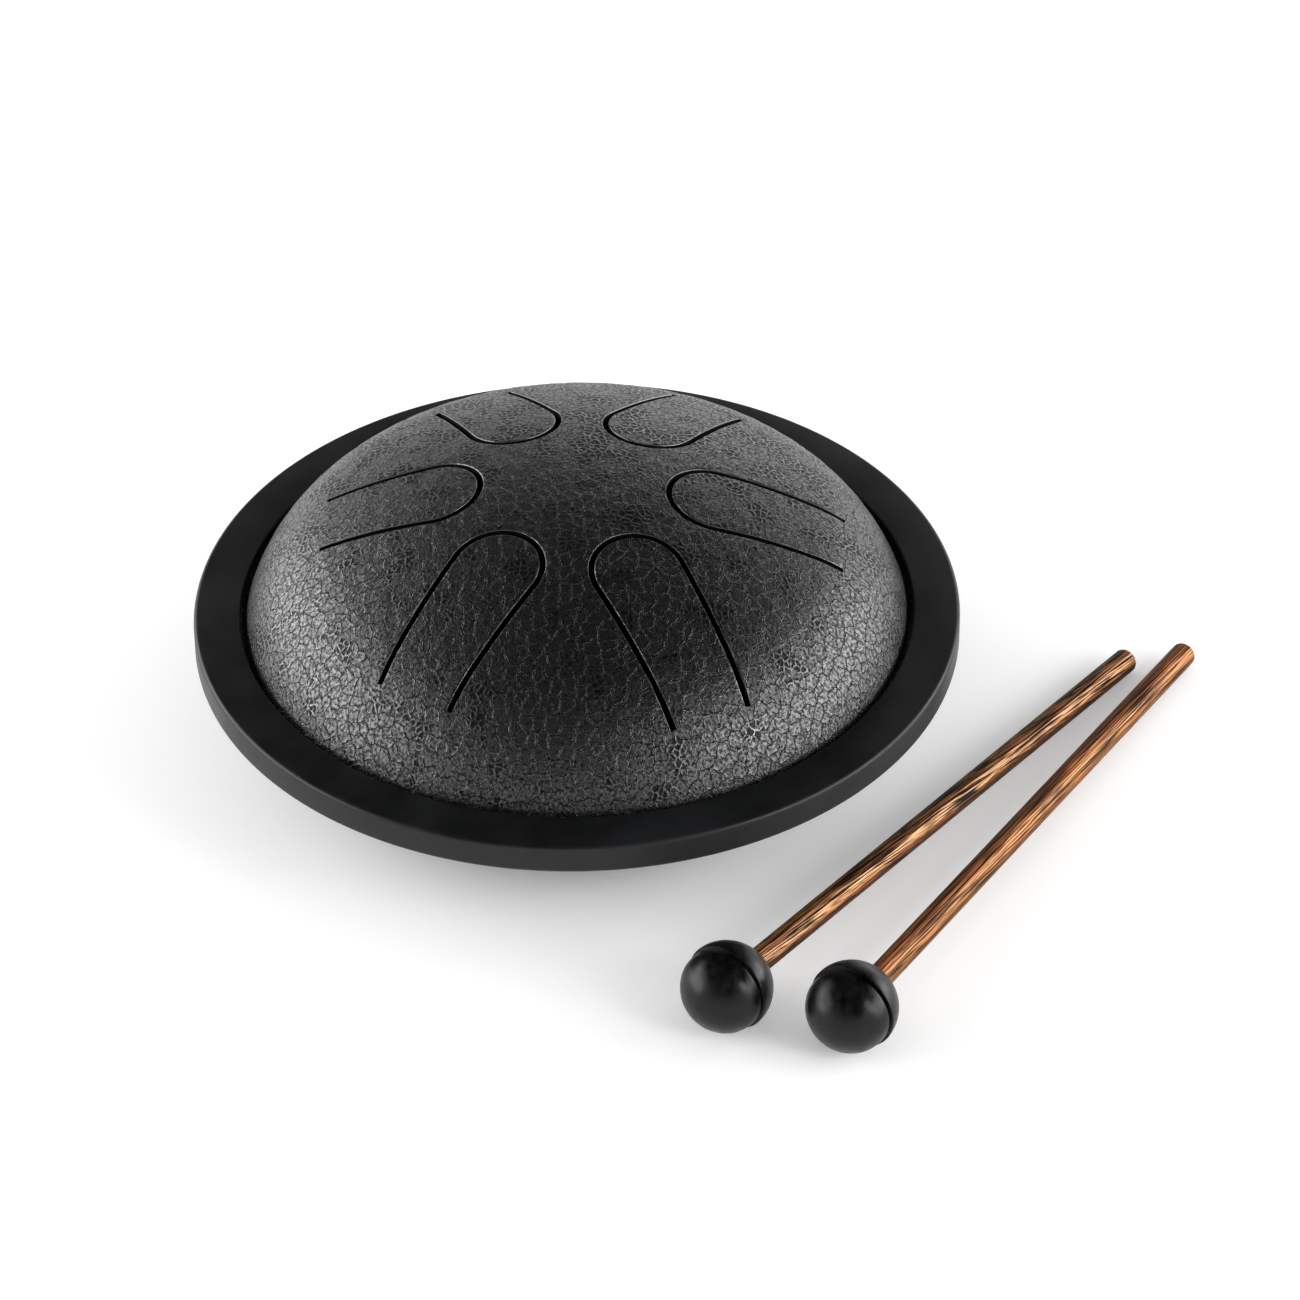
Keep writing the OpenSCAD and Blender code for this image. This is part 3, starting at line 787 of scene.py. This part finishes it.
screwSettings = {"head": 2.8, "headHeight": 1.9, "edge": 0.6, "edgeSteps": 7, "shank": 1.5, "point": 0.3,
                 "socket": 1.0, "socketDepth": 1.1, "socketChamfer": 0.12, "steps": 72}


def addScrews(s):
    # Pan head with a six-sided socket, whose rows follow the hexagon r = a / cos(t folded to 60 degrees)
    low, high = (c.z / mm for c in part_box("foot_screws"))
    turn = np.arange(s["steps"]) * 2 * np.pi / s["steps"]
    hexagon = s["socket"] / np.cos((turn + np.pi / 6) % (np.pi / 3) - np.pi / 6)
    circle = np.ones(s["steps"])
    headTop, socketTop, c = low + s["headHeight"], low + s["socketDepth"], s["socketChamfer"]
    dome = arc((s["head"] - s["edge"], low + s["edge"]), s["edge"], -math.pi / 2, 0, s["edgeSteps"])
    rows = [(0.5 * hexagon, socketTop), (hexagon, socketTop), (hexagon, low + c), (hexagon + c, low)]
    rows += [(r * circle, z) for r, z in dome]
    rows += [(s["head"] * circle, headTop), (s["shank"] * circle, headTop),
             (s["shank"] * circle, high - s["point"]), ((s["shank"] - s["point"]) * circle, high)]
    radius = np.array([r for r, _ in rows])
    height = np.array([z for _, z in rows])[:, None] * circle
    points = np.stack([radius * np.cos(turn), radius * np.sin(turn), height], -1)
    one, faces = roundMesh(points, start=socketTop, end=high)
    faces = outward(one, faces)
    verts = np.vstack([one + [p.x, p.y, 0] for p in footPlaces.values()])
    every = [[v + n * len(one) for v in f] for n in range(len(footPlaces)) for f in faces]
    addPiece("footScrews", verts * mm, every, zinc, "drum", ["foot_screws"])


addScrews(screwSettings)
print("feet and fasteners done")


# Mallets: each is made round +Z with its head's centre at the origin, then laid on the table

malletSettings = {  # in mm; widths along the ball in radians, and headings in degrees
    "head": 10.6,
    "stick": 3,
    "length": 172.2,
    "socket": 13,
    "socketGap": 0.05,
    "butt": 1.4,
    "step": 0.25,  # by which the front half is smaller
    "pinch": 0.6,
    "pinchWidth": 0.26,
    "notch": 0.1,
    "notchWidth": 0.05,
    "roll": 0.14,  # of the rear half at the parting line
    "rollWidth": 0.02,
    "slack": 0.1,  # of the rear half on the side away from the notch
    "slackWidth": 0.15,
    "steps": 144,
    "wobble": (0.02, 23),  # how far out of round a stick is, and over what length that turns
    "stickSteps": (90, 64),
    "left": {"gap": 0.4, "back": 66.3, "heading": 51.4},
    "right": {"gap": 20.4, "back": 67, "heading": 57.3},
}
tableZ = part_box("foot_front_left")[0].z / mm


def laidDown(s, which):
    # Tilted so that the head's side and the stick's rounded end both touch the table
    butt = (s["length"] - s["head"] - s["butt"], s["stick"] - s["butt"])
    tilt = math.asin((s["head"] - s["butt"]) / math.hypot(*butt)) - math.atan2(butt[1], butt[0])
    heading = math.radians(s[which]["heading"])
    off, back = ringHigh.x / mm + s["stick"] + s[which]["gap"], s[which]["back"]
    x = off * math.sin(heading) - back * math.cos(heading)
    y = -off * math.cos(heading) - back * math.sin(heading)
    return (Matrix.Translation((x, y, tableZ + s["head"]))
            @ Matrix.Rotation(heading, 4, "Z")
            @ Matrix.Rotation(math.pi / 2 + tilt, 4, "Y"))


def addHead(s, which, spin, notch):
    # A ball moulded in two halves, with its parting line round the middle. Over the rear half the radius
    # is R, rolled off at the line. Over the front half it is R less a step and a pinch that fades from the
    # line as exp(-(a / width)^2), and less a narrow notch at the line that is deepest on one side,
    # because the halves don't quite meet there. The rows lie closest at the line.
    radius, steps = s["head"], s["steps"]
    socketR, floor = s["stick"] + s["socketGap"], radius - s["socket"]
    front = np.concatenate([np.linspace(math.pi, math.pi / 2 + 0.3, 34),
                            np.linspace(math.pi / 2 + 0.28, math.pi / 2, 30)])
    rear = np.concatenate([np.linspace(math.pi / 2, math.pi / 2 - 0.1, 10)[1:],
                           np.linspace(math.pi / 2 - 0.13, math.asin(socketR / radius), 34)])
    turn = np.arange(steps) * 2 * np.pi / steps
    side = (0.5 + 0.5 * np.cos(turn - spin)) ** 2
    gap = (front - math.pi / 2)[:, None]
    pinch = s["pinch"] * (0.6 + 0.4 * np.cos(2 * turn + 0.7))
    frontR = (radius - s["step"] - pinch * np.exp(-(gap / s["pinchWidth"]) ** 2)
              - (s["notch"] + notch * side) * np.exp(-(gap / s["notchWidth"]) ** 2))
    back = (math.pi / 2 - rear)[:, None]
    rearR = (radius - s["roll"] * np.exp(-(back / s["rollWidth"]) ** 2)
             - s["slack"] * (1 - side) * np.exp(-(back / s["slackWidth"]) ** 2))
    shell = np.concatenate([frontR, rearR])
    angle = np.concatenate([front, rear])[:, None]
    rows = np.stack([shell * np.sin(angle) * np.cos(turn), shell * np.sin(angle) * np.sin(turn),
                     shell * np.cos(angle)], -1)
    mouth = np.array([[socketR, rows[-1, 0, 2] - 0.2], [socketR, floor]])
    walls = np.stack([mouth[:, :1] * np.cos(turn), mouth[:, :1] * np.sin(turn),
                      mouth[:, 1:] * np.ones(steps)], -1)
    rows = np.concatenate([rows[1:], walls])
    verts, faces = roundMesh(rows, start=-float(frontR[0].mean()), end=floor)
    faces = outward(verts, faces)
    spot = np.array(laidDown(s, which))
    verts = verts @ spot[:3, :3].T + spot[:3, 3]
    addPiece(which + "MalletHead", verts * mm, faces, headRubber, which + "_mallet",
             [which + "_mallet_head"], 32)


def addStick(s, which, material):
    # A dowel from the socket's floor to a rounded end, a little out of round as a turned one is
    start, end, steps = s["head"] - s["socket"], s["length"] - s["head"], s["stickSteps"]
    side = np.linspace(start + 0.3, end - s["butt"], steps[0])
    profile = np.vstack([
        [[0, start], [s["stick"] - 0.3, start]],
        np.stack([np.full(steps[0], s["stick"]), side], -1),
        arc((s["stick"] - s["butt"], end - s["butt"]), s["butt"], 0, math.pi / 2, 9)[1:],
        [[0, end]],
    ])

    def uneven(z, t):
        return -s["wobble"][0] * (1 + np.sin(2 * t + z / s["wobble"][1])) * (z < end - s["butt"])

    verts, faces = turned(profile, steps[1], uneven)
    faces = outward(verts, faces)
    spot = np.array(laidDown(s, which))
    piece = addPiece(which + "MalletStick", (verts @ spot[:3, :3].T + spot[:3, 3]) * mm, faces, material,
                     which + "_mallet", [which + "_mallet_handle"])
    addVectors(piece, "grain", verts)


addHead(malletSettings, "left", -1.5, 0.3)
addHead(malletSettings, "right", -1.7, 0.6)
addStick(malletSettings, "left", leftWood)
addStick(malletSettings, "right", rightWood)
print("mallets laid")


# Floor and light: a pale table and soft lights in a room whose walls fade from white at the table to a
# dark ceiling. A light's glow is the brightness of its face, where a white page in full light is 1.

studioSettings = {
    "floor": "#fbfbfb",
    "reach": 6,  # metres from the axis to the table's sides
    "fill": 0.42,  # what the room gives to a dull surface
    # Glow added to the table as the camera and mirror rays see it: mm from the drum's axis over which it
    # comes up, and how much. None is below the drum, some keeps the shadows pale, and more keeps the far
    # table white.
    "lift": [(45, 85, 0.22), (700, 2500, 0.4)],
    "ceiling": 0.015,
    "fade": (0.03, 0.5),  # heights, as sines, between which the walls fade
    "aim": (0, 0, 0.03),  # metres, as are the lights' places and sizes
    "lights": {
        "leftSoft": {"place": (-1.05, 0.21, 0.37), "size": (1.7, 0.7), "glow": 4.9},
        "rightSoft": {"place": (1.05, 0.0, 0.29), "size": (1.5, 0.55), "glow": 5.0},
        "backSoft": {"place": (0.7, 1.5, 0.4), "size": (1.4, 0.56), "glow": 1.35},
        "frontSoft": {"place": (0.8, -0.7, 0.55), "size": (0.25, 0.5), "glow": 7.5},
    },
}


def rays(tree):
    # Two values of 0 or 1: whether the camera sees the surface, and whether a gloss or a glass does
    ray = addNode(tree, "ShaderNodeLightPath")
    mirrored = addNode(tree, "ShaderNodeMath", {"operation": "MAXIMUM"}, i0=ray.outputs["Is Glossy Ray"],
                       i1=ray.outputs["Is Transmission Ray"])
    return ray.outputs["Is Camera Ray"], mirrored.outputs[0]


def addStudio(settings):
    material, tree = newMaterial("paleTable")
    direct, mirrored = rays(tree)
    seen = addNode(tree, "ShaderNodeMath", {"operation": "MAXIMUM"}, i0=direct, i1=mirrored)
    away = addNode(tree, "ShaderNodeVectorMath", {"operation": "LENGTH"},
                   i0=addNode(tree, "ShaderNodeTexCoord").outputs["Object"])
    near, far = [addNode(tree, "ShaderNodeMapRange", {"interpolation_type": "SMOOTHSTEP"},
                         Value=away.outputs["Value"], From_Min=start * mm, From_Max=end * mm, To_Min=0.0,
                         To_Max=top).outputs["Result"] for start, end, top in settings["lift"]]
    glow = addNode(tree, "ShaderNodeMath", {"operation": "ADD"}, i0=near, i1=far)
    lift = addNode(tree, "ShaderNodeMath", {"operation": "MULTIPLY"}, i0=seen.outputs[0], i1=glow.outputs[0])
    finishMaterial(tree, Base_Color=linear(settings["floor"]), Roughness=0.9, Specular_IOR_Level=0.1,
                   Emission_Color=(1, 1, 1, 1), Emission_Strength=lift.outputs[0])
    mesh = bpy.data.meshes.new("tableTop")
    mesh.from_pydata([(x * settings["reach"], y * settings["reach"], tableZ * mm)
                      for x, y in ((-1, -1), (1, -1), (1, 1), (-1, 1))], [], [(0, 1, 2, 3)])
    mesh.materials.append(material)
    table = bpy.data.objects.new("tableTop", mesh)
    scene.collection.objects.link(table)
    for name, light in settings["lights"].items():
        data = bpy.data.lights.new(name, "AREA")
        data.shape = "RECTANGLE"
        data.size, data.size_y = light["size"]
        data.energy = light["glow"] * math.pi * light["size"][0] * light["size"][1]
        lamp = bpy.data.objects.new(name, data)
        scene.collection.objects.link(lamp)
        place = Vector(light["place"])
        aim = (Vector(settings["aim"]) - place).to_track_quat("-Z", "Y")
        lamp.matrix_world = Matrix.Translation(place) @ aim.to_matrix().to_4x4()
    world = bpy.data.worlds.new("studio")
    scene.world = world
    world.use_nodes = True
    tree = world.node_tree
    tree.nodes.clear()
    direct, mirrored = rays(tree)
    aim = addNode(tree, "ShaderNodeSeparateXYZ",
                  Vector=addNode(tree, "ShaderNodeTexCoord").outputs["Generated"])
    walls = addNode(tree, "ShaderNodeMapRange", {"interpolation_type": "SMOOTHSTEP"}, Value=aim.outputs["Z"],
                    From_Min=settings["fade"][0], From_Max=settings["fade"][1], To_Min=1.0,
                    To_Max=settings["ceiling"])
    room = addNode(tree, "ShaderNodeMix", {"data_type": "FLOAT"}, i0=mirrored, i2=settings["fill"],
                   i3=walls.outputs["Result"])
    seen = addNode(tree, "ShaderNodeMix", {"data_type": "FLOAT"}, i0=direct, i2=room.outputs[0], i3=1.0)
    sky = addNode(tree, "ShaderNodeBackground", Color=(1, 1, 1, 1), Strength=seen.outputs[0])
    addNode(tree, "ShaderNodeOutputWorld", Surface=sky.outputs[0])


addStudio(studioSettings)
print("studio lit")
